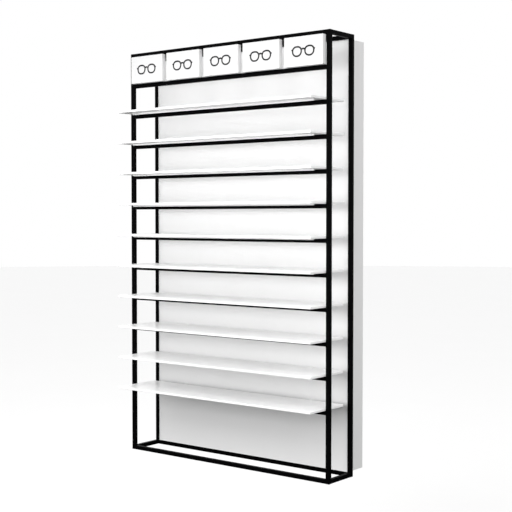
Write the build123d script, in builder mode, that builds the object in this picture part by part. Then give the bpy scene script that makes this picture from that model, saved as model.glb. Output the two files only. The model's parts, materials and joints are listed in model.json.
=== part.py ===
from build123d import *
import os

# Wall display for spectacles: a welded square-tube frame carries ten shelves and five header
# plates in front of a shallow white casing that hangs on a bevelled wall cleat.
# X runs to the right, Y runs from the front of the display to the wall, and Z runs up.
# The origin is the middle of the wall cleat's four screw holes, on the wall.

# ---- Driving dimensions, in millimetres ----
FRAME_WIDTH = 940
FRAME_HEIGHT = 1550
FRAME_DEPTH = 150
TUBE = 15
TUBE_WALL = 1.5
TUBE_CORNER = 1.2

SHELF_COUNT = 10
SHELF_PITCH = 118
SHELF_DEPTH = 200
SHELF_THICKNESS = 8
SHELF_OVERHANG = 90
HEADER_RAIL_TOP = 1432  # above the frame's base

PLATE_COUNT = 5
PLATE_PITCH = 185
PLATE_SPACING = 22  # from one plate to the next
PLATE_HEIGHT = 102
PLATE_PROUD = 16
SHEET = 1.5

CASING_DEPTH = 95
BOARD = 16
PANEL = 3
BOARD_EDGE = 0.8
PANEL_RECESS = 5  # from the front faces of the rear tubes to the panel's face

MOVING_GAP = 0.3  # between a piece that slides and the frame round it
CLEAT_HEIGHT = 1440  # above the frame's base

# ---- Places worked out from them ----
FRAME_BASE = -CLEAT_HEIGHT
FRAME_TOP = FRAME_BASE + FRAME_HEIGHT
PANEL_FACE = -CASING_DEPTH
PANEL_BACK = PANEL_FACE + PANEL
REAR_TUBE_Y = PANEL_FACE - PANEL_RECESS + TUBE / 2
FRAME_FRONT = PANEL_FACE - PANEL_RECESS + TUBE - FRAME_DEPTH
FRONT_TUBE_Y = FRAME_FRONT + TUBE / 2
UPRIGHT_X = (FRAME_WIDTH - TUBE) / 2
SPAN = FRAME_WIDTH - 2 * TUBE
SIDE_SPAN = FRAME_DEPTH - 2 * TUBE
OPENING_BASE = FRAME_BASE + TUBE
OPENING_HEIGHT = FRAME_HEIGHT - 2 * TUBE

TUBE_BORE = TUBE - 2 * TUBE_WALL
BORE_CORNER = 0.4
VENT_RADIUS = 3

SHELF_WIDTH = SPAN - 2 * MOVING_GAP
SHELF_FRONT = FRAME_FRONT - SHELF_OVERHANG
SHELF_REAR = SHELF_FRONT + SHELF_DEPTH
SHELF_EDGE = 0.6
SHELF_CORNER = 1
HOME_GAP = 30  # from the stop bar to the shelf rail, and from the shelf to the panel

STOP_BAR_WIDTH = 4
STOP_BAR_HEIGHT = 5
STOP_BAR_INSET = 25  # from each end of the shelf
STOP_BAR_REAR = FRAME_FRONT - HOME_GAP
STOP_BAR_TAPER = 4

PIN_RADIUS = 2.5
PIN_CLEARANCE = 0.05
PIN_X = 300
PIN_REACH = 90  # in front of the panel
PIN_ANCHOR = 20  # into the batten
PIN_SOCKET = 95  # into the shelf's rear edge
PIN_TIP = 0.6
BATTEN_WIDTH = 40
BATTEN_DEPTH = 30

PLATE_WIDTH = PLATE_PITCH - PLATE_SPACING
PLATE_INSET = 3  # from the frame's front to the back of the plate's flange
PLATE_REAR = FRAME_FRONT + PLATE_INSET
PLATE_FRONT = FRAME_FRONT - PLATE_PROUD
PLATE_BASE = FRAME_BASE + HEADER_RAIL_TOP + MOVING_GAP
PLATE_FLANGE = 14
PLATE_CORNER = 1
PLATE_FOLD = 0.8
KEEPER_HEIGHT = 16
KEEPER_THICKNESS = 3
MAGNET_RADIUS = 5
MAGNET_THICKNESS = 3
MAGNET_EDGE = 0.3
MAGNET_SPREAD = 120
MAGNET_DROP = 8  # from the keeper bar's top to a magnet's centre

CLEAT_THICKNESS = 15
CLEAT_BASE = -31
CLEAT_REAR_TOP = 24
WALL_CLEAT_LENGTH = 860
WALL_HOLE_RADIUS = 3.5
WALL_HOLE_SPREAD = 640
WALL_HOLE_RISE = 30
COUNTERSINK_RADIUS = 7

SCREW_HEIGHTS = (100, 550, 1000, 1450)  # above the frame's base
SCREW_Y = -88.4
SCREW_RADIUS = 1.75
SCREW_HEAD_RADIUS = 3.3
SCREW_HEAD_HEIGHT = 2.4
SCREW_HEAD_ROUND = 1.1
SCREW_SOCKET = 1.25
SCREW_SOCKET_DEPTH = 1.2
SCREW_REACH = 6  # past the board, into the tube

SHELF_RAIL_TOPS = [
    FRAME_BASE + HEADER_RAIL_TOP - SHELF_PITCH * (index + 1) for index in range(SHELF_COUNT)
]
SHELF_BASES = [top + MOVING_GAP for top in SHELF_RAIL_TOPS]
SHELF_MIDDLES = [base + SHELF_THICKNESS / 2 for base in SHELF_BASES]
PLATE_CENTRES = [PLATE_PITCH * (index - (PLATE_COUNT - 1) / 2) for index in range(PLATE_COUNT)]
PIN_PLACES = [(side * PIN_X, height) for height in SHELF_MIDDLES for side in (-1, 1)]


def save(piece, name):
    """Labels a finished piece and writes it to its own STEP file."""
    piece.part.label = name
    export_step(piece.part, f"parts/{name}.step")


def pair(distance):
    """Two places side by side along X, that far apart."""
    return GridLocations(distance, distance, 2, 1)


def front_plane(y):
    """A plane that faces the front at depth y, with X to the right and Z up."""
    return Plane.XZ.offset(-y)


def tube_section():
    """The frame's hollow square section, drawn in the sketch that is open."""
    RectangleRounded(TUBE, TUBE, TUBE_CORNER)
    RectangleRounded(TUBE_BORE, TUBE_BORE, BORE_CORNER, mode=Mode.SUBTRACT)


def long_rail(name, y, top):
    """A tube from one upright to the other, its upper face at height top."""
    with BuildPart() as rail:
        with BuildSketch(Plane.YZ.offset(-SPAN / 2)):
            with Locations((y, top - TUBE / 2)):
                tube_section()
        extrude(amount=SPAN)
    save(rail, name)


def side_rail(name, x, top):
    """A short tube between the front and the rear upright of one side."""
    with BuildPart() as rail:
        with BuildSketch(front_plane(FRAME_FRONT + TUBE + SIDE_SPAN)):
            with Locations((x, top - TUBE / 2)):
                tube_section()
        extrude(amount=SIDE_SPAN)
    save(rail, name)


def upright(name, x, y, screw_heights):
    """A full-height tube closed at both ends, with vents into the rails that butt on it."""
    inward = -1 if x > 0 else 1
    with BuildPart() as post:
        with BuildSketch(Plane.XY.offset(FRAME_BASE)):
            with Locations((x, y)):
                RectangleRounded(TUBE, TUBE, TUBE_CORNER)
        extrude(amount=FRAME_HEIGHT)
        with BuildSketch(Plane.XY.offset(FRAME_BASE + TUBE_WALL)):
            with Locations((x, y)):
                RectangleRounded(TUBE_BORE, TUBE_BORE, BORE_CORNER)
        extrude(amount=FRAME_HEIGHT - 2 * TUBE_WALL, mode=Mode.SUBTRACT)
        with BuildSketch(Plane.YZ.offset(x)):
            with Locations((y, FRAME_BASE + TUBE / 2), (y, FRAME_TOP - TUBE / 2)):
                Circle(VENT_RADIUS)
            for height in screw_heights:
                with Locations((SCREW_Y, FRAME_BASE + height)):
                    Circle(SCREW_RADIUS)
        extrude(amount=inward * TUBE, mode=Mode.SUBTRACT)
    save(post, name)


os.makedirs("parts", exist_ok=True)

# ---- Welded frame ----
for side_name, side in (("left", -1), ("right", 1)):
    upright(f"front_{side_name}_upright", side * UPRIGHT_X, FRONT_TUBE_Y, ())
    upright(f"rear_{side_name}_upright", side * UPRIGHT_X, REAR_TUBE_Y, SCREW_HEIGHTS)
    side_rail(f"top_{side_name}_rail", side * UPRIGHT_X, FRAME_TOP)
    side_rail(f"bottom_{side_name}_rail", side * UPRIGHT_X, FRAME_BASE + TUBE)

for row_name, row_y in (("front", FRONT_TUBE_Y), ("rear", REAR_TUBE_Y)):
    long_rail(f"top_{row_name}_rail", row_y, FRAME_TOP)
    long_rail(f"bottom_{row_name}_rail", row_y, FRAME_BASE + TUBE)

long_rail("header_rail", FRONT_TUBE_Y, FRAME_BASE + HEADER_RAIL_TOP)
for number, rail_top in enumerate(SHELF_RAIL_TOPS, start=1):
    long_rail(f"shelf_rail_{number:02d}", FRONT_TUBE_Y, rail_top)

# ---- Shelves, each with a stop bar under its overhang ----
for number, base in enumerate(SHELF_BASES, start=1):
    with BuildPart() as shelf:
        with BuildSketch(Plane.XY.offset(base)):
            with Locations((0, (SHELF_FRONT + SHELF_REAR) / 2)):
                RectangleRounded(SHELF_WIDTH, SHELF_DEPTH, SHELF_CORNER)
        extrude(amount=SHELF_THICKNESS)
        flat_faces = shelf.faces().filter_by(Axis.Z)
        chamfer(flat_faces.edges(), SHELF_EDGE)
        with BuildSketch(front_plane(SHELF_REAR)):
            with Locations((0, base + SHELF_THICKNESS / 2)):
                with pair(2 * PIN_X):
                    Circle(PIN_RADIUS + PIN_CLEARANCE)
        extrude(amount=PIN_SOCKET, mode=Mode.SUBTRACT)
    save(shelf, f"shelf_{number:02d}")

    bar_length = SHELF_WIDTH - 2 * STOP_BAR_INSET
    with BuildPart() as stop_bar:
        with BuildSketch(Plane.XY.offset(base)):
            with Locations((0, STOP_BAR_REAR - STOP_BAR_WIDTH / 2)):
                Rectangle(bar_length, STOP_BAR_WIDTH)
        extrude(amount=-STOP_BAR_HEIGHT)
        end_faces = stop_bar.faces().filter_by(Axis.X)
        lower_ends = end_faces.edges().filter_by(Axis.Y).group_by(Axis.Z)[0]
        chamfer(lower_ends, STOP_BAR_TAPER)
    save(stop_bar, f"stop_bar_{number:02d}")

# ---- Header plates: folded steel pans with a rear flange that the magnets hold ----
pan_depth = PLATE_REAR - PLATE_FRONT
for number, centre in enumerate(PLATE_CENTRES, start=1):
    with BuildPart() as header_plate:
        with BuildSketch(front_plane(PLATE_REAR)):
            with Locations((centre, PLATE_BASE + PLATE_HEIGHT / 2)):
                RectangleRounded(PLATE_WIDTH, PLATE_HEIGHT, PLATE_CORNER)
        extrude(amount=pan_depth)
        front_edges = header_plate.faces().sort_by(Axis.Y)[0].edges()
        fillet(front_edges, PLATE_FOLD)
        with BuildSketch(front_plane(PLATE_REAR)):
            with Locations((centre, PLATE_BASE + PLATE_HEIGHT / 2)):
                Rectangle(PLATE_WIDTH - 2 * SHEET, PLATE_HEIGHT - 2 * SHEET)
        extrude(amount=pan_depth - SHEET, mode=Mode.SUBTRACT)
        with BuildSketch(front_plane(PLATE_REAR)):
            with Locations((centre, PLATE_BASE + PLATE_HEIGHT - PLATE_FLANGE / 2)):
                Rectangle(PLATE_WIDTH - SHEET, PLATE_FLANGE)
        extrude(amount=SHEET)
    save(header_plate, f"header_plate_{number}")

keeper_front = PLATE_REAR + MOVING_GAP + MAGNET_THICKNESS
keeper_top = FRAME_TOP - TUBE
with BuildPart() as keeper_bar:
    with BuildSketch(front_plane(keeper_front + KEEPER_THICKNESS)):
        with Locations((0, keeper_top - KEEPER_HEIGHT / 2)):
            Rectangle(SPAN, KEEPER_HEIGHT)
    extrude(amount=KEEPER_THICKNESS)
save(keeper_bar, "keeper_bar")

with BuildPart() as keeper_magnets:
    with BuildSketch(front_plane(keeper_front)):
        for centre in PLATE_CENTRES:
            with Locations((centre, keeper_top - MAGNET_DROP)):
                with pair(MAGNET_SPREAD):
                    Circle(MAGNET_RADIUS)
    extrude(amount=MAGNET_THICKNESS)
    chamfer(keeper_magnets.faces().group_by(Axis.Y)[0].edges(), MAGNET_EDGE)
save(keeper_magnets, "keeper_magnets")

# ---- Casing behind the frame ----
with BuildPart() as back_panel:
    with BuildSketch(front_plane(PANEL_BACK)):
        with Locations((0, OPENING_BASE + OPENING_HEIGHT / 2)):
            Rectangle(SPAN, OPENING_HEIGHT)
        with Locations(*PIN_PLACES):
            Circle(PIN_RADIUS + PIN_CLEARANCE, mode=Mode.SUBTRACT)
    extrude(amount=PANEL)
save(back_panel, "back_panel")

board_middle = PANEL_BACK / 2
for side_name, side in (("left", -1), ("right", 1)):
    with BuildPart() as casing_side:
        with BuildSketch(Plane.XY.offset(OPENING_BASE)):
            with Locations((side * (SPAN - BOARD) / 2, board_middle)):
                Rectangle(BOARD, -PANEL_BACK)
        extrude(amount=OPENING_HEIGHT)
        outer_rear = casing_side.edges().filter_by(Axis.Z).group_by(Axis.Y)[-1]
        chamfer(outer_rear, BOARD_EDGE)
        with BuildSketch(Plane.YZ.offset(side * SPAN / 2)):
            for height in SCREW_HEIGHTS:
                with Locations((SCREW_Y, FRAME_BASE + height)):
                    Circle(SCREW_RADIUS)
        extrude(amount=-side * BOARD, mode=Mode.SUBTRACT)
    save(casing_side, f"casing_{side_name}")

inner_width = SPAN - 2 * BOARD
inner_base = OPENING_BASE + BOARD
inner_top = OPENING_BASE + OPENING_HEIGHT - BOARD
for end_name, board_base in (("top", inner_top), ("bottom", OPENING_BASE)):
    with BuildPart() as casing_end:
        with BuildSketch(Plane.XY.offset(board_base)):
            with Locations((0, board_middle)):
                Rectangle(inner_width, -PANEL_BACK)
        extrude(amount=BOARD)
    save(casing_end, f"casing_{end_name}")

with BuildPart() as pin_battens:
    with BuildSketch(Plane.XY.offset(inner_base)):
        with Locations((0, PANEL_BACK + BATTEN_DEPTH / 2)):
            with pair(2 * PIN_X):
                Rectangle(BATTEN_WIDTH, BATTEN_DEPTH)
    extrude(amount=inner_top - inner_base)
    with BuildSketch(front_plane(PANEL_BACK)):
        with Locations(*PIN_PLACES):
            Circle(PIN_RADIUS + PIN_CLEARANCE)
    extrude(amount=-PIN_ANCHOR, mode=Mode.SUBTRACT)
save(pin_battens, "pin_battens")

with BuildPart() as shelf_pins:
    with BuildSketch(front_plane(PANEL_BACK + PIN_ANCHOR)):
        with Locations(*PIN_PLACES):
            Circle(PIN_RADIUS)
    extrude(amount=PIN_ANCHOR + PANEL + PIN_REACH)
    chamfer(shelf_pins.faces().group_by(Axis.Y)[0].edges(), PIN_TIP)
save(shelf_pins, "shelf_pins")

with BuildPart() as frame_screws:
    for side in (-1, 1):
        for height in SCREW_HEIGHTS:
            with BuildSketch(Plane.YZ.offset(side * inner_width / 2)):
                with Locations((SCREW_Y, FRAME_BASE + height)):
                    Circle(SCREW_RADIUS)
            extrude(amount=side * (BOARD + SCREW_REACH))
            with BuildSketch(Plane.YZ.offset(side * inner_width / 2)):
                with Locations((SCREW_Y, FRAME_BASE + height)):
                    Circle(SCREW_HEAD_RADIUS)
            extrude(amount=-side * SCREW_HEAD_HEIGHT)
            crown = frame_screws.faces(Select.LAST).sort_by(Axis.X)[0 if side > 0 else -1]
            fillet(crown.edges(), SCREW_HEAD_ROUND)
            with BuildSketch(Plane.YZ.offset(side * (inner_width / 2 - SCREW_HEAD_HEIGHT))):
                with Locations((SCREW_Y, FRAME_BASE + height)):
                    RegularPolygon(SCREW_SOCKET, 6)
            extrude(amount=side * SCREW_SOCKET_DEPTH, mode=Mode.SUBTRACT)
save(frame_screws, "frame_screws")

# ---- Wall cleat and the matching half inside the casing ----
cleat_front_top = CLEAT_REAR_TOP + CLEAT_THICKNESS
with BuildPart() as wall_cleat:
    with BuildSketch(Plane.YZ.offset(-WALL_CLEAT_LENGTH / 2)):
        with BuildLine():
            Polyline(
                (0, CLEAT_BASE),
                (0, CLEAT_REAR_TOP),
                (-CLEAT_THICKNESS, cleat_front_top),
                (-CLEAT_THICKNESS, CLEAT_BASE),
                close=True,
            )
        make_face()
    extrude(amount=WALL_CLEAT_LENGTH)
    with Locations(front_plane(-CLEAT_THICKNESS)):
        with GridLocations(WALL_HOLE_SPREAD, WALL_HOLE_RISE, 2, 2):
            CounterSinkHole(WALL_HOLE_RADIUS, COUNTERSINK_RADIUS)
save(wall_cleat, "wall_cleat")

with BuildPart() as casing_cleat:
    with BuildSketch(Plane.YZ.offset(-inner_width / 2)):
        with BuildLine():
            Polyline(
                (0, CLEAT_REAR_TOP),
                (0, inner_top),
                (-CLEAT_THICKNESS, inner_top),
                (-CLEAT_THICKNESS, cleat_front_top),
                close=True,
            )
        make_face()
    extrude(amount=inner_width)
save(casing_cleat, "casing_cleat")
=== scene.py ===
"""A wall display for spectacles: its finishes, fitted pieces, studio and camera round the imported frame.

Run as a script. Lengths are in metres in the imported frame: X to the right, Y towards the wall, Z up.
"""

import json
import math

import bpy
import numpy as np
from bpy.props import FloatProperty, FloatVectorProperty, PointerProperty
from mathutils import Euler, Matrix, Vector

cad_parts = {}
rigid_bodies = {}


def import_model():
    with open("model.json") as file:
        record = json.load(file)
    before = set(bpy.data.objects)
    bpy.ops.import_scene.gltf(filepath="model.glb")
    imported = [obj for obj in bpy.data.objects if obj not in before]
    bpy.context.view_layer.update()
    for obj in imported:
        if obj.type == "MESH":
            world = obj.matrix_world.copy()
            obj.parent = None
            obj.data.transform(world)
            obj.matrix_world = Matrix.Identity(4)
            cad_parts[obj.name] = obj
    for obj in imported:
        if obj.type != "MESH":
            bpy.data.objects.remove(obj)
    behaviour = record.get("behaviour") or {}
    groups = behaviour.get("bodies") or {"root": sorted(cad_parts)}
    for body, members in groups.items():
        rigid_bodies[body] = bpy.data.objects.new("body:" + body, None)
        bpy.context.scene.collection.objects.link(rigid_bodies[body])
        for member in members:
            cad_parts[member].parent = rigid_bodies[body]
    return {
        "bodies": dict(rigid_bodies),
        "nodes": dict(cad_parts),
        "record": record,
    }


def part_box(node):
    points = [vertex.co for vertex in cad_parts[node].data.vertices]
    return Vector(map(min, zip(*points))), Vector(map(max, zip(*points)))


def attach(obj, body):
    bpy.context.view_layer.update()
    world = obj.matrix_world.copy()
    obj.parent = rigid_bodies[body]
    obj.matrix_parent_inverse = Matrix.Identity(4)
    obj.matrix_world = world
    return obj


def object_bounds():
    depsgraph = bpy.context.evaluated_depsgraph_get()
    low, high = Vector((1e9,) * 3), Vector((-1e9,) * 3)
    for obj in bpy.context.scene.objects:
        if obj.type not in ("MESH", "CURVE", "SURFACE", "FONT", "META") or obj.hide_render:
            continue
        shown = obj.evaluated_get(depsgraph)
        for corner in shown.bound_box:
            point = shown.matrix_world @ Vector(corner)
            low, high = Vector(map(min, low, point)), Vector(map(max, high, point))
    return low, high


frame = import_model()
cad_box = [list(corner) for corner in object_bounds()]

bl_info = {
    "name": "Spectacles Wall Display",
    "version": (1, 0, 0),
    "blender": (4, 5, 0),
    "location": "3D View > Sidebar > Display",
    "description": "Finishes, fitted pieces, studio and camera for a wall display for spectacles",
    "category": "Object",
}

SHELF_COUNT = sum(body.startswith("shelf_unit_") for body in frame["bodies"])
PLATE_COUNT = sum(body.startswith("plate_unit_") for body in frame["bodies"])

UPRIGHTS = [name for name in frame["nodes"] if name.endswith("_upright")]
SHELF_RAILS = [f"shelf_rail_{number:02d}" for number in range(1, SHELF_COUNT + 1)]
OUTER_RAILS = [name for name in frame["nodes"] if name.endswith("_rail")]
SHELVES = [f"shelf_{number:02d}" for number in range(1, SHELF_COUNT + 1)]
STOP_BARS = [f"stop_bar_{number:02d}" for number in range(1, SHELF_COUNT + 1)]
PLATES = [f"header_plate_{number}" for number in range(1, PLATE_COUNT + 1)]
CASING_BOARDS = ["casing_left", "casing_right", "casing_top", "casing_bottom"]
CLEATS = ["wall_cleat", "casing_cleat"]

# What no user would change. Lengths in metres, angles in degrees.
PATCH = 0.08  # one soft patch in a powder coat
ACRYLIC_SKIN = 0.0004  # how deep a sawn edge's finish reaches
PANEL_SKIN = 0.0006  # how deep the panel's raw rear face reaches
PITH_INWARDS = 0.065  # from a batten's outer side inwards to its pith
PITH_FORWARDS = 0.05  # from a batten's front forwards to its pith
SMOOTH_BELOW = 40  # edges that turn by more stay sharp
CIRCLE_POINTS = 96  # round the floor and round a lens ring
STROKE_POINTS = 24  # round a drawn stroke's section
RUN_POINTS = 25  # along a bridge or an end
BEAD_POINTS = 48  # along a weld bead
BEAD_FULLNESS = 0.55  # from 0 for a flat face to 1 for a quarter circle
FRONT_LIGHT_SIZE = (1.2, 1.2)  # width and height
FILL_LIGHT_SIZE = (1.4, 0.7)
SIDE_LIGHT_SIZE = (2.0, 2.0)
TOP_LIGHT_SIZE = (2.6, 2.6)
FILL_SPREAD = 40
FULL_SPREAD = 180
SENSOR_WIDTH = 36.0  # in millimetres


# ---- Settings ----


def colour_property(name, default):
    """A colour, in linear light."""
    return FloatVectorProperty(
        name=name,
        description=f"{name}, before light",
        subtype="COLOR",
        size=3,
        min=0.0,
        max=1.0,
        default=default,
    )


def slot_colour(slot):
    """The record's base colour for one of its material slots."""
    return next(each["base_color"] for each in frame["record"]["materials"] if each["slot"] == slot)


def length_property(name, description, default):
    """A length in metres."""
    return FloatProperty(name=name, description=description, default=default, unit="LENGTH", precision=5)


def share_property(name, description, default):
    """A share from 0 to 1."""
    return FloatProperty(
        name=name, description=description, default=default, min=0.0, max=1.0, subtype="FACTOR"
    )


def power_property(name, default):
    """The power of a light."""
    description = f"Power of the {name.lower()}"
    return FloatProperty(name=name, description=description, default=default, unit="POWER")


def place_property(name, start, default):
    """The place of a light or the camera, measured from a point of the display."""
    return FloatVectorProperty(
        name=f"{name} place",
        description=f"From {start} to the {name.lower()}",
        size=3,
        default=default,
        subtype="XYZ",
        unit="LENGTH",
    )


class CoatSettings(bpy.types.PropertyGroup):
    """Black powder coat on the tubes, the keeper bar and the welds."""

    colour: colour_property("Frame colour", (0.0012, 0.0012, 0.0014))
    peel: length_property("Orange peel", "Width of one ripple in the coat", 0.0022)
    peel_depth: length_property("Peel depth", "Height of the ripples", 0.00002)
    roughness: share_property("Roughness", "Mean roughness of the coat", 0.46)
    gloss: share_property("Gloss", "Strength of the coat's reflection", 0.02)


class WeldSettings(bpy.types.PropertyGroup):
    """Weld beads in the open corners of the frame."""

    leg: length_property("Leg", "How far a bead reaches along each tube", 0.0022)
    margin: length_property("Margin", "Bare tube left at each end of a bead", 0.0012)
    ripple: length_property("Ripple", "From one ripple to the next", 0.0011)
    ripple_height: share_property("Ripple height", "Height of a ripple as a share of the leg", 0.07)
    sink: length_property("Sink", "How far a bead's root lies inside the tubes", 0.0002)


class ShelfSettings(bpy.types.PropertyGroup):
    """White acrylic of the shelves and their stop bars."""

    colour: colour_property("Shelf colour", (0.94, 0.94, 0.94))
    bar_colour: colour_property("Stop bar colour", (0.9, 0.9, 0.9))
    roughness: share_property("Roughness", "Roughness of the sheet's faces", 0.32)
    cut_roughness: share_property("Cut roughness", "Roughness of the sawn edges", 0.5)
    saw_mark: length_property("Saw mark", "Width of one mark on a sawn edge", 0.0006)


class PlateSettings(bpy.types.PropertyGroup):
    """White powder coat on the folded header plates."""

    colour: colour_property("Plate colour", (0.69, 0.69, 0.69))
    # A whiter colour than the face, painted on the side walls as a highlight
    wall_colour: colour_property("Wall highlight colour", slot_colour("plate_white"))
    peel: length_property("Orange peel", "Width of one ripple in the coat", 0.0018)
    peel_depth: length_property("Peel depth", "Height of the ripples", 0.000015)
    roughness: share_property("Roughness", "Mean roughness of the coat", 0.4)
    gloss: share_property("Gloss", "Strength of the coat's reflection", 0.45)
    sheet: length_property("Sheet", "Thickness of the folded steel", 0.0015)
    seam: length_property("Seam", "Width of the closed seam at a folded corner", 0.0003)


class SignSettings(bpy.types.PropertyGroup):
    """The spectacles sign on each header plate."""

    colour: colour_property("Sign colour", (0.008, 0.008, 0.009))
    width: length_property("Width", "Width of the whole sign", 0.1)
    lens_width: length_property("Lens width", "Width of a lens ring along its middle line", 0.0365)
    lens_height: length_property("Lens height", "Height of a lens ring along its middle line", 0.032)
    bridge: length_property("Bridge", "Gap between the two lens rings", 0.0105)
    stroke: length_property("Stroke", "Width of the drawn line", 0.0054)
    thickness: length_property("Thickness", "How far the sign stands off its plate", 0.0012)


class CasingSettings(bpy.types.PropertyGroup):
    """Melamine-faced boards and the lacquered back panel."""

    board_colour: colour_property("Board colour", slot_colour("casing_white"))
    panel_colour: colour_property("Panel colour", (0.84, 0.84, 0.84))
    fibre_colour: colour_property("Fibre colour", (0.24, 0.14, 0.075))
    stipple: length_property("Stipple", "Width of one dimple in the facing", 0.0009)
    band: length_property("Edge band", "Thickness of the band on a board's rear edge", 0.001)
    glue_line: length_property("Glue line", "Width of the line between board and band", 0.0003)
    roughness: share_property("Roughness", "Mean roughness of the facing", 0.5)


class TimberSettings(bpy.types.PropertyGroup):
    """Softwood battens and plywood cleats."""

    pine_colour: colour_property("Pine colour", slot_colour("batten_pine"))
    ply_colour: colour_property("Plywood colour", slot_colour("cleat_ply"))
    ring: length_property("Growth ring", "From one growth ring to the next", 0.0035)
    ply: length_property("Ply", "Thickness of one ply", 0.00136)
    fibre: length_property("Fibre", "Width of one streak of wood fibre", 0.0007)


class HardwareSettings(bpy.types.PropertyGroup):
    """Enamelled pins, zinc-plated screws and nickel-plated magnets."""

    pin_colour: colour_property("Pin colour", slot_colour("pin_white"))
    screw_colour: colour_property("Screw colour", slot_colour("screw_zinc"))
    screw_tint: colour_property("Screw tint", (0.52, 0.56, 0.66))
    magnet_colour: colour_property("Magnet colour", slot_colour("magnet_nickel"))
    magnet_tint: colour_property("Magnet tint", (0.62, 0.6, 0.55))
    blotch: length_property("Blotch", "Width of one cloud in the plating", 0.004)


class StudioSettings(bpy.types.PropertyGroup):
    """Floor, lights, background and camera."""

    floor_drop: length_property("Floor drop", "From the display's base down to the floor", 0.6)
    floor_radius: length_property("Floor radius", "Radius of the round floor", 30.0)
    sky: FloatProperty(name="Sky", description="Brightness of the room above the horizon", default=1.03)
    front_power: power_property("Front light", 27.0)
    front_place: place_property("Front light", "the middle of the display's front", (0.0, -2.3, -0.03))
    fill_power: power_property("Fill light", 1.2)
    fill_place: place_property("Fill light", "the middle of the display's front", (0.0, -1.6, 0.31))
    side_power: power_property("Side light", 38.0)
    side_place: place_property("Side light", "half way up the front right corner", (3.0, -0.7, 0.86))
    top_power: power_property("Top light", 80.0)
    top_place: place_property("Top light", "the middle of the display's front", (0.0, -3.3, 2.9))
    camera_place: place_property(
        "Camera", "the middle of the frame's front base edge", (2.56023, -3.06108, 0.9145)
    )
    azimuth: FloatProperty(
        name="Azimuth",
        description="How far the camera is turned round the display, from straight in front",
        default=math.radians(38.19),
        unit="ROTATION",
    )
    pitch: FloatProperty(
        name="Pitch",
        description="How far the camera looks down",
        default=math.radians(2.034),
        unit="ROTATION",
    )
    focal_length: FloatProperty(
        name="Focal length",
        description="Focal length in millimetres, for a 36 mm sensor",
        default=76.6,
    )


class DisplaySettings(bpy.types.PropertyGroup):
    """Every group of settings of the display."""

    coat: PointerProperty(type=CoatSettings)
    weld: PointerProperty(type=WeldSettings)
    shelf: PointerProperty(type=ShelfSettings)
    plate: PointerProperty(type=PlateSettings)
    sign: PointerProperty(type=SignSettings)
    casing: PointerProperty(type=CasingSettings)
    timber: PointerProperty(type=TimberSettings)
    hardware: PointerProperty(type=HardwareSettings)
    studio: PointerProperty(type=StudioSettings)


# ---- Shader expressions ----


class Shade:
    """One output of a shader node. An expression on it adds the Math nodes that work it out."""

    def __init__(self, nodes, socket):
        self.nodes = nodes
        self.socket = socket

    def maths(self, operation, *values):
        """One Math node of that operation on these numbers or outputs."""
        return self.nodes.add("ShaderNodeMath", {"operation": operation}, dict(enumerate(values)))

    def __add__(self, other):
        return self.maths("ADD", self, other)

    def __sub__(self, other):
        return self.maths("SUBTRACT", self, other)

    def __rsub__(self, other):
        return self.maths("SUBTRACT", other, self)

    def __mul__(self, other):
        return self.maths("MULTIPLY", self, other)

    def __truediv__(self, other):
        return self.maths("DIVIDE", self, other)

    def __pow__(self, other):
        return self.maths("POWER", self, other)

    def __gt__(self, other):
        return self.maths("GREATER_THAN", self, other)

    def __lt__(self, other):
        return self.maths("LESS_THAN", self, other)

    def __or__(self, other):
        return self.maths("MAXIMUM", self, other)

    def __abs__(self):
        return self.maths("ABSOLUTE", self)

    def fraction(self):
        """The part after the decimal point, from 0 to 1."""
        return self.maths("FRACT", self)

    __radd__ = __add__
    __rmul__ = __mul__


class Nodes:
    """A node tree that nodes are added to."""

    def __init__(self, tree):
        self.tree = tree
        tree.nodes.clear()

    def add(self, kind, settings=None, sockets=None, output=0):
        """Adds a node. Its settings are set first, then its sockets get numbers or links."""
        made = self.tree.nodes.new(kind)
        for name, value in (settings or {}).items():
            setattr(made, name, value)
        for name, value in (sockets or {}).items():
            if isinstance(value, Shade):
                self.tree.links.new(value.socket, made.inputs[name])
            else:
                made.inputs[name].default_value = value
        return Shade(self, made.outputs[output] if made.outputs else None)


class Finish(Nodes):
    """One procedural material: a Principled shader and what feeds it."""

    def __init__(self, name, constants):
        self.material = bpy.data.materials.new(name)
        self.material.use_nodes = True
        super().__init__(self.material.node_tree)
        surface = self.add("ShaderNodeBsdfPrincipled", sockets=constants)
        self.shader = surface.socket.node
        self.add("ShaderNodeOutputMaterial", sockets={"Surface": surface})
        self.place = self.add("ShaderNodeTexCoord", output="Object")

    def axis(self, name):
        """The Object coordinate X, Y or Z, in metres."""
        return self.add("ShaderNodeSeparateXYZ", sockets={0: self.place}, output=name)

    def noise(self, size, detail=1.0, stretch=(1.0, 1.0, 1.0)):
        """Noise from 0 to 1, its blobs size metres across and stretch times as long along each axis."""
        scale = [1 / share for share in stretch]
        place = self.add("ShaderNodeMapping", sockets={"Vector": self.place, "Scale": scale})
        sockets = {"Vector": place, "Scale": 1 / size, "Detail": detail}
        return self.add("ShaderNodeTexNoise", sockets=sockets)

    def blend(self, mask, first, second):
        """The first colour where the mask is 0, and the second where it is 1.

        Sockets 6 and 7 of a Mix node take its colours, and output 2 gives the mixed one.
        """
        return self.add("ShaderNodeMix", {"data_type": "RGBA"}, {0: mask, 6: first, 7: second}, 2)

    def tone(self, mask, colour, spread):
        """A colour that the mask makes darker and lighter by that share."""
        return self.blend(mask, shaded(colour, 1 - spread), shaded(colour, 1 + spread))

    def feed(self, socket, value):
        """Links an expression to one of the Principled shader's sockets."""
        self.tree.links.new(value.socket, self.shader.inputs[socket])

    def bump(self, height, depth):
        """Raises the surface by height, from 0 to 1, times depth in metres."""
        self.feed("Normal", self.add("ShaderNodeBump", sockets={"Distance": depth, "Height": height}))


def shaded(colour, share):
    """A colour times a share, no brighter than white, with full alpha."""
    return [min(1.0, part * share) for part in colour] + [1.0]


# ---- Finishes ----


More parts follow.
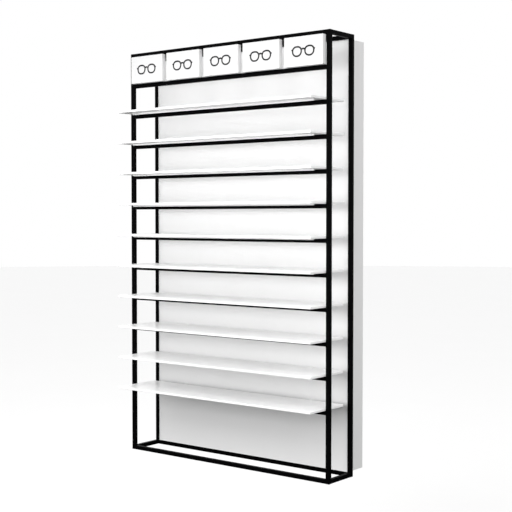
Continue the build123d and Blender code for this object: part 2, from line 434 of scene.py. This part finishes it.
def bare_coat(name, settings):
    """Powder coat with no colour yet, as (finish, patches): ripples, finer grit, broad soft patches."""
    finish = Finish(name, {"Specular IOR Level": settings.gloss})
    ripples = finish.noise(settings.peel)
    grit = finish.noise(settings.peel / 5)
    patches = finish.noise(PATCH, detail=3.0)
    finish.feed("Roughness", settings.roughness + 0.12 * (patches - 0.5) + 0.08 * (grit - 0.5))
    finish.bump(0.7 * ripples + 0.3 * grit, settings.peel_depth)
    return finish, patches


def powder_coat(name, colour, settings):
    """Powder coat of one colour, a little uneven from patch to patch."""
    finish, patches = bare_coat(name, settings)
    finish.feed("Base Color", finish.tone(patches, colour, 0.015))
    return finish


def plate_coat(settings):
    """White powder coat, with the side walls painted whiter than the face as a painted highlight, and a
    closed seam where two walls meet.

    The plates stand one pitch apart, so one fraction finds the distance from any plate's middle.
    """
    finish, patches = bare_coat("plate_white_coat", settings)
    low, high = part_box(PLATES[0])
    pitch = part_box(PLATES[1])[0].x - low.x
    half_width = (high.x - low.x) / 2
    start = (high.x + low.x - pitch) / 2
    across = abs(((finish.axis("X") - start) / pitch).fraction() - 0.5) * pitch
    # The side walls take a whiter colour than the face: a painted highlight standing for light between
    # the plates.
    highlight_wall = across > half_width - settings.sheet / 3
    up = abs(finish.axis("Z") - (low.z + high.z) / 2)
    at_fold = abs(up - ((high.z - low.z) / 2 - settings.sheet)) < settings.seam / 2
    face = finish.tone(patches, settings.colour, 0.01)
    whole, dark = shaded(settings.wall_colour, 1.0), shaded(settings.wall_colour, 0.45)
    wall = finish.blend(at_fold, whole, dark)
    finish.feed("Base Color", finish.blend(highlight_wall, face, wall))
    return finish


def acrylic(name, node, colour, settings):
    """White acrylic: satin faces with hairline scratches, and sawn edges with fine saw marks."""
    finish = Finish(name, {"IOR": 1.49})
    low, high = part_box(node)
    ends = abs(finish.axis("X")) > high.x - ACRYLIC_SKIN
    front = finish.axis("Y") < low.y + ACRYLIC_SKIN
    rear = finish.axis("Y") > high.y - ACRYLIC_SKIN
    cut = ends | front | rear
    smears = finish.noise(0.11, detail=4.0)
    hairlines = finish.noise(0.0006, stretch=(90.0, 1.0, 1.0))
    saw_marks = finish.noise(settings.saw_mark, stretch=(1.0, 1.0, 40.0))
    polished = settings.roughness + 0.1 * (smears - 0.5) + 0.06 * (hairlines > 0.7)
    finish.feed("Roughness", polished * (1 - cut) + settings.cut_roughness * cut)
    sawn = finish.tone(saw_marks, shaded(colour, 0.97)[:3], 0.03)
    finish.feed("Base Color", finish.blend(cut, finish.tone(smears, colour, 0.01), sawn))
    finish.bump(0.2 * hairlines * (1 - cut) + saw_marks * cut, 0.00003)
    return finish


def lacquered_panel(settings):
    """Hardboard: stippled white lacquer in front, and raw brown fibre on the rear face."""
    finish = Finish("panel_lacquer", {"Specular IOR Level": 0.3})
    raw = finish.axis("Y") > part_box("back_panel")[1].y - PANEL_SKIN
    stipple = finish.noise(settings.stipple)
    roller = finish.noise(0.03, detail=2.0, stretch=(1.0, 1.0, 30.0))
    lint = finish.noise(0.0015, detail=3.0, stretch=(5.0, 1.0, 1.0))
    white = finish.tone(roller, settings.panel_colour, 0.006)
    fibre = finish.tone(lint, settings.fibre_colour, 0.35)
    finish.feed("Base Color", finish.blend(raw, white, fibre))
    finish.feed("Roughness", (settings.roughness + 0.08 * (stipple - 0.5)) * (1 - raw) + 0.85 * raw)
    finish.bump(0.3 * stipple * (1 - raw) + lint * raw, 0.00006)
    return finish


def melamine(settings):
    """Melamine facing: a fine pearl texture, and a glue line where the rear edge is banded."""
    finish = Finish("board_melamine", {"Specular IOR Level": 0.4})
    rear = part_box("casing_left")[1].y
    glue = abs(finish.axis("Y") - (rear - settings.band)) < settings.glue_line / 2
    pearl = finish.noise(settings.stipple, detail=2.0)
    white = finish.tone(finish.noise(0.12, detail=2.0), settings.board_colour, 0.008)
    finish.feed("Base Color", finish.blend(glue, white, shaded(settings.board_colour, 0.6)))
    finish.feed("Roughness", settings.roughness + 0.1 * (pearl - 0.5))
    finish.bump(pearl, 0.000025)
    return finish


def softwood(settings):
    """Planed softwood: growth rings round a pith beside each batten, and fibre streaks along it."""
    finish = Finish("batten_pine", {"Specular IOR Level": 0.3})
    low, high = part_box("pin_battens")
    pith_x = high.x - PITH_INWARDS
    pith_y = low.y - PITH_FORWARDS
    from_pith = (abs(finish.axis("X")) - pith_x) ** 2.0 + (finish.axis("Y") - pith_y) ** 2.0
    wander = finish.noise(0.05, detail=2.0, stretch=(1.0, 1.0, 9.0))
    late = ((from_pith ** 0.5 + 0.012 * wander) / settings.ring).fraction() ** 3.0
    streaks = finish.noise(settings.fibre, detail=2.0, stretch=(1.0, 1.0, 40.0))
    pine = settings.pine_colour
    dull = finish.blend(late, shaded(pine, 0.92), shaded(pine, 0.5))
    bright = finish.blend(late, shaded(pine, 1.12), shaded(pine, 0.66))
    finish.feed("Base Color", finish.blend(streaks, dull, bright))
    finish.feed("Roughness", 0.62 + 0.16 * (streaks - 0.5) - 0.08 * late)
    finish.bump(0.6 * streaks + 0.4 * late, 0.00008)
    return finish


def plywood(settings):
    """Birch plywood: plies that run in turn along X and across it, with dark glue between them."""
    finish = Finish("cleat_plywood", {"Specular IOR Level": 0.3})
    turn = (finish.axis("Y") / (2 * settings.ply) + 0.25).fraction()
    crosswise = turn > 0.5
    glue = abs(abs(turn - 0.5) - 0.25) > 0.23
    along = finish.noise(settings.fibre, detail=3.0, stretch=(45.0, 1.0, 1.0))
    across = finish.noise(settings.fibre, detail=2.0)
    figure = finish.noise(0.03, detail=3.0, stretch=(8.0, 1.0, 1.0))
    birch = settings.ply_colour
    veneer = finish.blend(figure, finish.tone(along, birch, 0.13), shaded(birch, 0.86))
    end_grain = finish.blend(across, shaded(birch, 0.5), shaded(birch, 0.74))
    plies = finish.blend(crosswise, veneer, end_grain)
    finish.feed("Base Color", finish.blend(glue, plies, shaded(birch, 0.3)))
    finish.feed("Roughness", 0.6 + 0.16 * (along - 0.5) + 0.12 * crosswise)
    finish.bump(0.6 * along + 0.4 * across * crosswise, 0.00007)
    return finish


def plating(name, colour, tint, roughness, settings):
    """Plated steel: soft clouds of a second tint, and fine scuffs that break the shine."""
    finish = Finish(name, {"Metallic": 1.0})
    clouds = finish.noise(settings.blotch, detail=3.0)
    scuffs = finish.noise(0.0004, detail=2.0, stretch=(6.0, 1.0, 1.0))
    finish.feed("Base Color", finish.blend(clouds, shaded(colour, 1.0), shaded(tint, 1.0)))
    finish.feed("Roughness", roughness + 0.12 * (scuffs > 0.6) + 0.08 * (clouds - 0.5))
    finish.bump(scuffs, 0.000004)
    return finish


def sign_acrylic(settings):
    """Charcoal satin acrylic with a fine grain and a little handling haze."""
    finish = Finish("sign_charcoal", {"Specular IOR Level": 0.3})
    grain = finish.noise(0.0005)
    haze = finish.noise(0.02, detail=3.0)
    finish.feed("Base Color", finish.tone(haze, settings.colour, 0.12))
    finish.feed("Roughness", 0.42 + 0.1 * (haze - 0.5) + 0.06 * (grain - 0.5))
    finish.bump(grain, 0.000008)
    return finish


def pale_floor():
    """Pale matt floor with the softest mottling."""
    finish = Finish("studio_floor", {"Specular IOR Level": 0.1})
    mottle = finish.noise(0.6, detail=3.0)
    finish.feed("Base Color", finish.tone(mottle, (0.91, 0.91, 0.91), 0.006))
    finish.feed("Roughness", 0.85 + 0.06 * (mottle - 0.5))
    return finish


def dress(names, finish):
    """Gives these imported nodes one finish."""
    for name in names:
        for slot in frame["nodes"][name].material_slots:
            slot.material = finish.material


# ---- Surfaces ----


def signed_volume(corners):
    """Six times the volume under faces, shaped (face, corner, 3), each fanned from its first corner."""
    return np.einsum("fj,fkj->", corners[:, 0], np.cross(corners[:, 1:-1], corners[:, 2:]))


def shell(rings, closed):
    """A closed surface through rings of points, shaped (ring, point, 3), as (points, faces).

    Quads join neighbouring rings. A closed run joins its last ring to its first, and an open one has a
    flat cap on each end. Where the volume inside comes out negative, every face is turned round.
    """
    points = rings.reshape(-1, 3)
    here = np.arange(len(points)).reshape(rings.shape[:2])
    onward = np.roll(here, -1, axis=0)
    quads = np.stack([here, np.roll(here, -1, axis=1), np.roll(onward, -1, axis=1), onward], axis=-1)
    sides = (quads if closed else quads[:-1]).reshape(-1, 4)
    caps = np.empty((0, rings.shape[1]), dtype=int) if closed else np.stack([here[0, ::-1], here[-1]])
    if signed_volume(points[sides]) + signed_volume(points[caps]) < 0:
        sides, caps = sides[:, ::-1], caps[:, ::-1]
    return points, sides.tolist() + caps.tolist()


def fitted_piece(name, shells, body, finish):
    """One object made of closed shells where they stand, riding on a body."""
    starts = np.cumsum([0] + [len(points) for points, faces in shells]).tolist()
    joined = [
        [start + corner for corner in face]
        for start, (points, faces) in zip(starts, shells)
        for face in faces
    ]
    mesh = bpy.data.meshes.new(name)
    mesh.from_pydata(np.concatenate([points for points, faces in shells]).tolist(), [], joined)
    mesh.polygons.foreach_set("use_smooth", np.ones(len(mesh.polygons), dtype=bool))
    mesh.set_sharp_from_angle(angle=math.radians(SMOOTH_BELOW))
    mesh.materials.append(finish.material)
    made = bpy.data.objects.new(name, mesh)
    bpy.context.scene.collection.objects.link(made)
    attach(made, body)


def rounded(wave, power):
    """A sine or cosine raised to a power with its sign kept: two of them trace a superellipse."""
    return np.sign(wave) * np.abs(wave) ** power


def weld_bead(start, end, run, rise, settings):
    """A fillet weld from start to end, its legs along run and rise.

    The section is a root point inside the corner and a face that bulges between the chord and the
    quarter circle of the legs. Its size swells from nothing at each end, and a cosine along the bead,
    held back at its middle, makes the ripples.
    """
    line = end - start
    length = np.linalg.norm(line)
    along = np.linspace(0.0, 1.0, BEAD_POINTS)
    turn = np.linspace(0.0, math.pi / 2, 9)
    chord = 1 / (np.cos(turn) + np.sin(turn))
    bulge = (1 - BEAD_FULLNESS) * chord + BEAD_FULLNESS
    phase = 2 * math.pi * (along[:, None] * length / settings.ripple + 0.4 * np.sin(2 * turn))
    swell = np.sqrt(np.clip(1 - np.abs(2 * along - 1) ** 10, 0.02, 1.0))[:, None]
    reach = settings.leg * bulge * swell * (1 + settings.ripple_height * np.cos(phase))
    face = reach[..., None] * (np.cos(turn)[:, None] * run + np.sin(turn)[:, None] * rise)
    root = np.broadcast_to(-settings.sink * (run + rise), (len(along), 1, 3))
    middle = start + along[:, None] * line
    return shell(middle[:, None] + np.concatenate([face, root], axis=1), closed=False)


def rail_welds(name, length_axis, side, settings):
    """The two beads at a rail's ends, on its upper face for side 1 or its lower face for side -1."""
    low, high = (np.array(corner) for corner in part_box(name))
    bead_axis = 1 - length_axis
    rise = np.array([0.0, 0.0, float(side)])
    height = high[2] if side > 0 else low[2]
    beads = []
    for end, inward in ((low, 1.0), (high, -1.0)):
        start, stop = low.copy(), high.copy()
        start[length_axis] = stop[length_axis] = end[length_axis]
        start[2] = stop[2] = height
        start[bead_axis] += settings.margin
        stop[bead_axis] -= settings.margin
        run = np.zeros(3)
        run[length_axis] = inward
        beads.append(weld_bead(start, stop, run, rise, settings))
    return beads


def drawn_stroke(line, face_y, thickness, settings, closed=False, width=1.0):
    """A drawn line with soft edges, standing off a plate's front face.

    The section is a superellipse, carried along a line in the XZ plane and square to it.
    """
    ahead = np.roll(line, -1, axis=0) - np.roll(line, 1, axis=0) if closed else np.gradient(line, axis=0)
    ahead = ahead / np.linalg.norm(ahead, axis=1, keepdims=True)
    sideways = np.stack([-ahead[:, 1], np.zeros(len(line)), ahead[:, 0]], axis=1)
    angle = np.linspace(0.0, 2 * math.pi, STROKE_POINTS, endpoint=False)
    across = settings.stroke / 2 * rounded(np.cos(angle), 0.4)
    outwards = thickness * (0.4 + 0.6 * rounded(np.sin(angle), 0.4))
    centre = np.stack([line[:, 0], np.full(len(line), face_y), line[:, 1]], axis=1)
    widths = np.broadcast_to(width, len(line))[:, None, None]
    rings = centre[:, None] + sideways[:, None] * across[:, None] * widths
    rings[..., 1] -= outwards
    return shell(rings, closed)


def spectacles_sign(node, settings):
    """The strokes of a spectacles sign in the middle of a plate: two lens rings, a bridge, two ends.

    A lens ring is a superellipse that widens a little upwards. The bridge is a parabola, and each end
    is a short bar whose tip is half a circle.
    """
    low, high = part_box(node)
    middle = np.array([(low.x + high.x) / 2, (low.z + high.z) / 2])
    half_width = settings.lens_width / 2
    half_height = settings.lens_height / 2
    lens_x = (settings.bridge + settings.stroke + settings.lens_width) / 2
    angle = np.linspace(0.0, 2 * math.pi, CIRCLE_POINTS, endpoint=False)
    sine = rounded(np.sin(angle), 0.88)
    cosine = rounded(np.cos(angle), 0.88)
    outline = np.stack([half_width * cosine * (1 + 0.05 * sine), half_height * sine], axis=1)
    thin = 0.85 * settings.thickness
    strokes = []
    for side in (-1, 1):
        ring = middle + outline + (side * lens_x, 0.0)
        strokes.append(drawn_stroke(ring, low.y, settings.thickness, settings, closed=True))
        start = lens_x + 0.95 * half_width
        reach = np.linspace(start, settings.width / 2, RUN_POINTS)
        bar = np.stack([side * reach, np.full(RUN_POINTS, 0.35 * half_height)], axis=1)
        into_tip = np.clip((reach - settings.width / 2) / (settings.stroke / 2) + 1, 0.0, 0.995)
        width = np.sqrt(1 - into_tip**2)
        strokes.append(drawn_stroke(middle + bar, low.y, thin, settings, width=width))
    half_bridge = (settings.bridge + settings.stroke) / 2
    across = np.linspace(-1.0, 1.0, RUN_POINTS)
    lift = half_height * (0.3 + 0.22 * (1 - across**2))
    bridge = middle + np.stack([half_bridge * across, lift], axis=1)
    strokes.append(drawn_stroke(bridge, low.y, thin, settings))
    return strokes


# ---- Studio ----


def soft_light(name, place, target, size, power, spread=FULL_SPREAD):
    """A rectangular area light that points at a target and isn't seen itself."""
    light = bpy.data.lights.new(name, "AREA")
    light.shape = "RECTANGLE"
    light.size, light.size_y = size
    light.energy = power
    light.spread = math.radians(spread)
    holder = bpy.data.objects.new(name, light)
    holder.location = place
    holder.rotation_euler = (target - place).to_track_quat("-Z", "Y").to_euler()
    holder.visible_camera = False
    bpy.context.scene.collection.objects.link(holder)


def room(settings):
    """A world that lights the display from above the horizon and shows as plain white behind it."""
    world = bpy.data.worlds.new("studio_room")
    world.use_nodes = True
    nodes = Nodes(world.node_tree)
    seen = nodes.add("ShaderNodeLightPath", output="Is Camera Ray")
    direction = nodes.add("ShaderNodeTexCoord", output="Generated")
    above = nodes.add("ShaderNodeSeparateXYZ", sockets={0: direction}, output="Z") > 0.0
    strength = seen + (1 - seen) * above * settings.sky
    background = nodes.add("ShaderNodeBackground", sockets={"Color": (1.0,) * 4, "Strength": strength})
    nodes.add("ShaderNodeOutputWorld", sockets={"Surface": background})
    bpy.context.scene.world = world


def round_floor(height, radius):
    """A flat disc that throws no light back: points on a circle, one face."""
    angle = np.linspace(0.0, 2 * math.pi, CIRCLE_POINTS, endpoint=False)
    level = np.full(CIRCLE_POINTS, height)
    points = np.stack([radius * np.cos(angle), radius * np.sin(angle), level], axis=1)
    mesh = bpy.data.meshes.new("studio_floor")
    mesh.from_pydata(points.tolist(), [], [list(range(CIRCLE_POINTS))])
    mesh.materials.append(pale_floor().material)
    floor = bpy.data.objects.new("studio_floor", mesh)
    floor.visible_diffuse = False
    floor.visible_glossy = False
    bpy.context.scene.collection.objects.link(floor)


def camera(settings):
    """The camera, placed from the middle of the frame's front base edge."""
    low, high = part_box("bottom_front_rail")
    data = bpy.data.cameras.new("camera")
    data.lens = settings.focal_length
    data.sensor_width = SENSOR_WIDTH
    holder = bpy.data.objects.new("camera", data)
    holder.location = Vector(((low.x + high.x) / 2, low.y, low.z)) + Vector(settings.camera_place)
    holder.rotation_euler = Euler((math.pi / 2 - settings.pitch, 0.0, settings.azimuth))
    bpy.context.scene.collection.objects.link(holder)
    bpy.context.scene.camera = holder


# ---- Operators ----


class DISPLAY_OT_coat_frame(bpy.types.Operator):
    """Coat the tubes, the keeper bar and the weld beads in black"""

    bl_idname = "display.coat_frame"
    bl_label = "Coat the frame"

    def execute(self, context):
        settings = context.scene.spectacles_display
        coat = powder_coat("frame_black_coat", settings.coat.colour, settings.coat)
        dress([*UPRIGHTS, *OUTER_RAILS, *SHELF_RAILS, "keeper_bar"], coat)
        beads = []
        for name in ["header_rail", *SHELF_RAILS]:
            beads += rail_welds(name, 0, -1, settings.weld)
        beads += rail_welds("bottom_front_rail", 0, 1, settings.weld)
        for side in ("left", "right"):
            beads += rail_welds(f"top_{side}_rail", 1, -1, settings.weld)
            beads += rail_welds(f"bottom_{side}_rail", 1, 1, settings.weld)
        fitted_piece("frame_welds", beads, "frame", coat)
        return {"FINISHED"}


class DISPLAY_OT_finish_shelves(bpy.types.Operator):
    """Give the shelves and their stop bars white acrylic"""

    bl_idname = "display.finish_shelves"
    bl_label = "Finish the shelves"

    def execute(self, context):
        settings = context.scene.spectacles_display.shelf
        dress(SHELVES, acrylic("shelf_acrylic", SHELVES[0], settings.colour, settings))
        dress(STOP_BARS, acrylic("bar_acrylic", STOP_BARS[0], settings.bar_colour, settings))
        return {"FINISHED"}


class DISPLAY_OT_finish_plates(bpy.types.Operator):
    """Coat the header plates in white and fix a spectacles sign to each"""

    bl_idname = "display.finish_plates"
    bl_label = "Finish the header plates"

    def execute(self, context):
        settings = context.scene.spectacles_display
        dress(PLATES, plate_coat(settings.plate))
        charcoal = sign_acrylic(settings.sign)
        for number, plate in enumerate(PLATES, start=1):
            strokes = spectacles_sign(plate, settings.sign)
            fitted_piece(f"plate_sign_{number}", strokes, f"plate_unit_{number}", charcoal)
        return {"FINISHED"}


class DISPLAY_OT_finish_casing(bpy.types.Operator):
    """Face the casing's boards and lacquer the back panel"""

    bl_idname = "display.finish_casing"
    bl_label = "Finish the casing"

    def execute(self, context):
        settings = context.scene.spectacles_display.casing
        dress(CASING_BOARDS, melamine(settings))
        dress(["back_panel"], lacquered_panel(settings))
        return {"FINISHED"}


class DISPLAY_OT_finish_timber(bpy.types.Operator):
    """Give the battens and the cleats their wood"""

    bl_idname = "display.finish_timber"
    bl_label = "Finish the timber"

    def execute(self, context):
        settings = context.scene.spectacles_display.timber
        dress(["pin_battens"], softwood(settings))
        dress(CLEATS, plywood(settings))
        return {"FINISHED"}


class DISPLAY_OT_finish_hardware(bpy.types.Operator):
    """Give the pins, screws and magnets their metals"""

    bl_idname = "display.finish_hardware"
    bl_label = "Finish the hardware"

    def execute(self, context):
        display = context.scene.spectacles_display
        settings = display.hardware
        enamel = powder_coat("pin_white_enamel", settings.pin_colour, display.plate)
        zinc = plating("screw_zinc", settings.screw_colour, settings.screw_tint, 0.34, settings)
        nickel = plating("magnet_nickel", settings.magnet_colour, settings.magnet_tint, 0.18, settings)
        dress(["shelf_pins"], enamel)
        dress(["frame_screws"], zinc)
        dress(["keeper_magnets"], nickel)
        return {"FINISHED"}


class DISPLAY_OT_set_studio(bpy.types.Operator):
    """Set the floor, the lights, the white background and the camera"""

    bl_idname = "display.set_studio"
    bl_label = "Set the studio"

    def execute(self, context):
        settings = context.scene.spectacles_display.studio
        low, high = (Vector(corner) for corner in cad_box)
        centre = (low + high) / 2
        middle = Vector((centre.x, low.y, centre.z))
        corner = Vector((high.x, low.y, centre.z))
        front = middle + Vector(settings.front_place)
        fill = middle + Vector(settings.fill_place)
        side = corner + Vector(settings.side_place)
        top = middle + Vector(settings.top_place)
        room(settings)
        round_floor(low.z - settings.floor_drop, settings.floor_radius)
        ahead = Vector((0.0, 1.0, 0.0))
        soft_light("front_light", front, front + ahead, FRONT_LIGHT_SIZE, settings.front_power)
        soft_light("fill_light", fill, fill + ahead, FILL_LIGHT_SIZE, settings.fill_power, FILL_SPREAD)
        soft_light("side_light", side, centre, SIDE_LIGHT_SIZE, settings.side_power)
        soft_light("top_light", top, centre, TOP_LIGHT_SIZE, settings.top_power)
        camera(settings)
        context.scene.view_settings.view_transform = "Standard"
        return {"FINISHED"}


class DISPLAY_PT_sidebar(bpy.types.Panel):
    """The display's operators and their settings"""

    bl_idname = "DISPLAY_PT_sidebar"
    bl_label = "Spectacles display"
    bl_space_type = "VIEW_3D"
    bl_region_type = "UI"
    bl_category = "Display"

    def draw(self, context):
        for operator in OPERATORS:
            self.layout.operator(operator.bl_idname)
        for group_name in DisplaySettings.__annotations__:
            group = getattr(context.scene.spectacles_display, group_name)
            box = self.layout.box()
            box.label(text=group_name.capitalize())
            for setting in type(group).__annotations__:
                box.prop(group, setting)


OPERATORS = (
    DISPLAY_OT_coat_frame,
    DISPLAY_OT_finish_shelves,
    DISPLAY_OT_finish_plates,
    DISPLAY_OT_finish_casing,
    DISPLAY_OT_finish_timber,
    DISPLAY_OT_finish_hardware,
    DISPLAY_OT_set_studio,
)
CLASSES = (
    CoatSettings,
    WeldSettings,
    ShelfSettings,
    PlateSettings,
    SignSettings,
    CasingSettings,
    TimberSettings,
    HardwareSettings,
    StudioSettings,
    DisplaySettings,
    *OPERATORS,
    DISPLAY_PT_sidebar,
)


def register():
    """Registers the classes and adds the settings to the scene."""
    for each in CLASSES:
        bpy.utils.register_class(each)
    bpy.types.Scene.spectacles_display = PointerProperty(type=DisplaySettings)


def unregister():
    """Takes the settings off the scene and the classes out again."""
    del bpy.types.Scene.spectacles_display
    for each in reversed(CLASSES):
        bpy.utils.unregister_class(each)


def main():
    """Registers the add-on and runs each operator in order."""
    register()
    for operator in OPERATORS:
        getattr(bpy.ops.display, operator.bl_idname.split(".")[1])()


if __name__ == "__main__":
    main()
